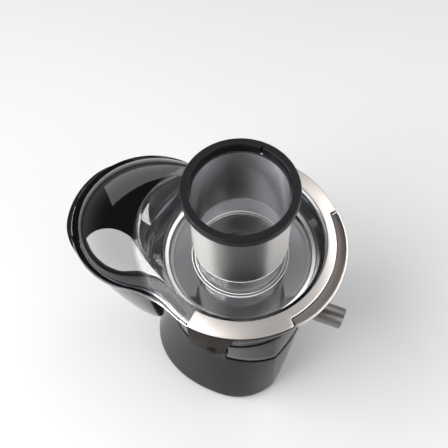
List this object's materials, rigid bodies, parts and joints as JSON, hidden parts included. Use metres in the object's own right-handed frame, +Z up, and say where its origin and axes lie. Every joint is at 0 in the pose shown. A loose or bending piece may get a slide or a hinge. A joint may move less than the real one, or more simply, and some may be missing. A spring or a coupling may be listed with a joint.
{
  "type": "centrifugal juicer",
  "caption": "Upright centrifugal juicer with a sleeved feed tube, clear hooded cover, C-shaped locking arm, low steel spout, flared motor base and a rear pulp container.",
  "frame": {"origin": "middle of the footprint box, on the surface that the feet stand on", "axes": "+Z up the spindle and feed tube, -Y towards the juice spout, +Y towards the pulp container, +X towards the control knob"},
  "size_m": [0.194, 0.2888, 0.339],
  "materials": {
    "gloss_black": "high gloss moulded black",
    "matte_black": "fine matte moulding",
    "rubber": "matte",
    "fastener_steel": "bright zinc plated",
    "collar_steel": "dark satin",
    "spout_steel": "polished and lightly brushed",
    "tube_steel": "vertically brushed",
    "arm_steel": "fine satin, brushed round the ring",
    "grip_grey": "matte brown grey",
    "clear_cover": "clear, faintly smoky polycarbonate",
    "basket_steel": "etched stainless mesh and plate",
    "knob_steel": "satin",
    "pointer_white": "matte",
    "lens": "frosted",
    "laminated_steel": "varnished lamination stack",
    "copper_wire": "enamelled copper",
    "cast_aluminium": "die cast",
    "brush_brass": "pressed",
    "carbon": "sintered carbon",
    "circuit_board": "solder resist"
  },
  "bodies": {
    "root": {"base_shell": "gloss_black", "base_plate": "matte_black", "rubber_foot_1": "rubber", "rubber_foot_2": "rubber", "rubber_foot_3": "rubber", "rubber_foot_4": "rubber", "base_screw_1": "fastener_steel", "base_screw_2": "fastener_steel", "base_screw_3": "fastener_steel", "base_screw_4": "fastener_steel", "steel_collar": "collar_steel", "motor_deck": "matte_black", "shaft_seal": "rubber", "pivot_post_1": "matte_black", "pivot_post_2": "matte_black", "arm_pivot_pin_1": "fastener_steel", "arm_pivot_pin_2": "fastener_steel", "juice_bowl": "gloss_black", "cover_gasket": "rubber", "spout_sleeve": "spout_steel", "cover": "clear_cover", "feed_sleeve": "tube_steel", "feed_rim": "matte_black", "stator_core": "laminated_steel", "upper_windings": "copper_wire", "lower_windings": "copper_wire", "upper_bracket": "cast_aluminium", "lower_bracket": "cast_aluminium", "upper_bearing": "fastener_steel", "lower_bearing": "fastener_steel", "motor_mount_1": "rubber", "motor_mount_2": "rubber", "motor_mount_3": "rubber", "motor_mount_4": "rubber", "brush_holder_1": "brush_brass", "brush_holder_2": "brush_brass", "carbon_brush_1": "carbon", "carbon_brush_2": "carbon", "control_board": "circuit_board", "rotary_switch": "matte_black", "interlock_switch": "matte_black", "dial_bezel": "matte_black", "indicator_lens": "lens", "cord_gland": "rubber"},
    "basket_drive": {"motor_shaft": "fastener_steel", "rotor_core": "laminated_steel", "commutator": "copper_wire", "cooling_fan": "matte_black", "drive_coupling": "fastener_steel", "basket_hub": "matte_black", "grater_disc": "basket_steel", "filter_mesh": "basket_steel", "basket_rim": "basket_steel"},
    "locking_arm": {"arm_ring": "arm_steel", "arm_grip": "grip_grey", "grip_trim": "arm_steel"},
    "knob": {"control_knob": "knob_steel", "knob_shaft": "fastener_steel", "knob_pointer": "pointer_white"},
    "container": {"pulp_container": "gloss_black"}
  },
  "joints": [
    {"name": "basket_spin", "type": "hinge", "parent": "root", "child": "basket_drive", "pos_m": [0, -0.03205, 0.15], "axis": [0, 0, 1], "continuous": true},
    {"name": "arm_swing", "type": "hinge", "parent": "root", "child": "locking_arm", "pos_m": [0, -0.04005, 0.207], "axis": [1, 0, 0], "range_deg": [0, 44]},
    {"name": "knob_turn", "type": "hinge", "parent": "root", "child": "knob", "pos_m": [0.084, -0.03205, 0.072], "axis": [1, 0, 0], "range_deg": [0, 90]},
    {"name": "container_slide", "type": "slide", "parent": "root", "child": "container", "axis": [0, 1, 0], "range_m": [0, 0.16]}
  ]
}
